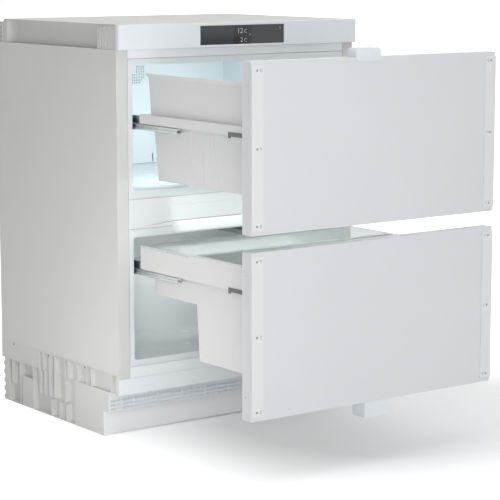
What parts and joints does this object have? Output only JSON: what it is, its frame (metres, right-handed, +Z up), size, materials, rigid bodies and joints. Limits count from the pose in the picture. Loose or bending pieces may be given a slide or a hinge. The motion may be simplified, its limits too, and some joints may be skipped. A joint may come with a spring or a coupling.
{
  "type": "undercounter drawer refrigerator",
  "caption": "Built-under refrigerator with pull-out drawers on telescopic rails, a top fascia with a display, a ribbed base with adjustable feet, and strips for furniture fronts.",
  "frame": {"origin": "centre of the footprint's bounding box with both drawers open, on the floor under the feet", "axes": "+X to the right seen from the front, +Y to the back, +Z up; the drawers pull out along -Y"},
  "size_m": [0.597, 0.9294, 0.835],
  "materials": {
    "white_enamel": "smooth semi-gloss white enamel",
    "pale_sheet": "coated steel sheet",
    "zinc_steel": "zinc-plated steel",
    "white_plastic": "fine-grained white plastic",
    "top_plastic": "light grey plastic",
    "base_plastic": "light grey plastic",
    "liner_plastic": "glossy thermoformed plastic",
    "bin_plastic": "satin moulded plastic",
    "display_glass": "dark glossy glass",
    "lid_glass": "clear safety glass",
    "lamp_plastic": "frosted light cover",
    "dark_plastic": "dark grey plastic",
    "black_plastic": "black plastic",
    "black_enamel": "black enamel",
    "circuit_board": "green circuit board",
    "seal_rubber": "soft light grey seal",
    "mount_rubber": "dark rubber",
    "copper": "bare copper",
    "foam": "rigid insulating foam",
    "fin_aluminium": "bare aluminium"
  },
  "bodies": {
    "cabinet": {"left_side_panel": "white_enamel", "right_side_panel": "white_enamel", "rear_panel": "pale_sheet", "bottom_shell": "zinc_steel", "cross_rails": "white_enamel", "divider_cover": "white_plastic", "upper_liner": "liner_plastic", "lower_liner": "liner_plastic", "foam_insulation": "foam", "fascia": "white_plastic", "display_glass": "display_glass", "control_board": "circuit_board", "top_plate": "top_plastic", "top_beams": "top_plastic", "top_corner_blocks": "top_plastic", "base_skirts": "base_plastic", "base_floor": "base_plastic", "base_walls": "base_plastic", "vent_grille": "white_plastic", "plinth_panel": "white_plastic", "compressor": "black_enamel", "compressor_mounts": "mount_rubber", "condenser": "black_enamel", "fan_shroud": "dark_plastic", "drip_tray": "top_plastic", "refrigerant_pipes": "copper", "mains_inlet": "black_plastic", "air_duct_cover": "liner_plastic", "evaporator": "fin_aluminium", "lamp_covers": "lamp_plastic", "fixed_rails": "zinc_steel"},
    "upper_drawer": {"upper_drawer_rails": "zinc_steel", "upper_front_skin": "white_enamel", "upper_front_liner": "white_plastic", "upper_front_foam": "foam", "upper_gasket": "seal_rubber", "upper_trim_strips": "white_plastic", "upper_strip_screws": "zinc_steel", "upper_top_bracket": "white_plastic", "upper_bin": "bin_plastic", "upper_rail_clips": "dark_plastic"},
    "lower_drawer": {"lower_drawer_rails": "zinc_steel", "lower_front_skin": "white_enamel", "lower_front_liner": "white_plastic", "lower_front_foam": "foam", "lower_gasket": "seal_rubber", "lower_trim_strips": "white_plastic", "lower_strip_screws": "zinc_steel", "lower_bottom_bracket": "white_plastic", "lower_bin": "bin_plastic", "lower_lid": "lid_glass", "lower_rail_clips": "dark_plastic"},
    "condenser_fan": {"condenser_fan": "black_plastic"},
    "cabin_fan": {"cabin_fan": "white_plastic"},
    "upper_rail_members": {"upper_middle_rails": "zinc_steel"},
    "lower_rail_members": {"lower_middle_rails": "zinc_steel"},
    "foot_front_left": {"foot_front_left": "dark_plastic"},
    "foot_front_right": {"foot_front_right": "dark_plastic"},
    "foot_rear_left": {"foot_rear_left": "dark_plastic"},
    "foot_rear_right": {"foot_rear_right": "dark_plastic"}
  },
  "joints": [
    {"name": "upper_drawer_slide", "type": "slide", "parent": "cabinet", "child": "upper_drawer", "axis": [0, -1, 0], "range_m": [-0.404, 0]},
    {"name": "upper_rail_slide", "type": "slide", "parent": "cabinet", "child": "upper_rail_members", "axis": [0, -1, 0], "range_m": [-0.202, 0]},
    {"name": "lower_drawer_slide", "type": "slide", "parent": "cabinet", "child": "lower_drawer", "axis": [0, -1, 0], "range_m": [-0.404, 0]},
    {"name": "lower_rail_slide", "type": "slide", "parent": "cabinet", "child": "lower_rail_members", "axis": [0, -1, 0], "range_m": [-0.202, 0]},
    {"name": "foot_front_left_screw", "type": "slide", "parent": "cabinet", "child": "foot_front_left", "axis": [0, 0, -1], "range_m": [0, 0.035]},
    {"name": "foot_front_right_screw", "type": "slide", "parent": "cabinet", "child": "foot_front_right", "axis": [0, 0, -1], "range_m": [0, 0.035]},
    {"name": "foot_rear_left_screw", "type": "slide", "parent": "cabinet", "child": "foot_rear_left", "axis": [0, 0, -1], "range_m": [0, 0.035]},
    {"name": "foot_rear_right_screw", "type": "slide", "parent": "cabinet", "child": "foot_rear_right", "axis": [0, 0, -1], "range_m": [0, 0.035]},
    {"name": "condenser_fan_spin", "type": "hinge", "parent": "cabinet", "child": "condenser_fan", "pos_m": [-0.155, 0.20075, 0.05], "axis": [0, 1, 0], "continuous": true},
    {"name": "cabin_fan_spin", "type": "hinge", "parent": "cabinet", "child": "cabin_fan", "pos_m": [0.01, 0.40825, 0.717], "axis": [0, 1, 0], "continuous": true}
  ],
  "couplings": [
    {"joint": "upper_rail_slide", "follows": "upper_drawer_slide", "ratio": 0.5},
    {"joint": "lower_rail_slide", "follows": "lower_drawer_slide", "ratio": 0.5}
  ]
}
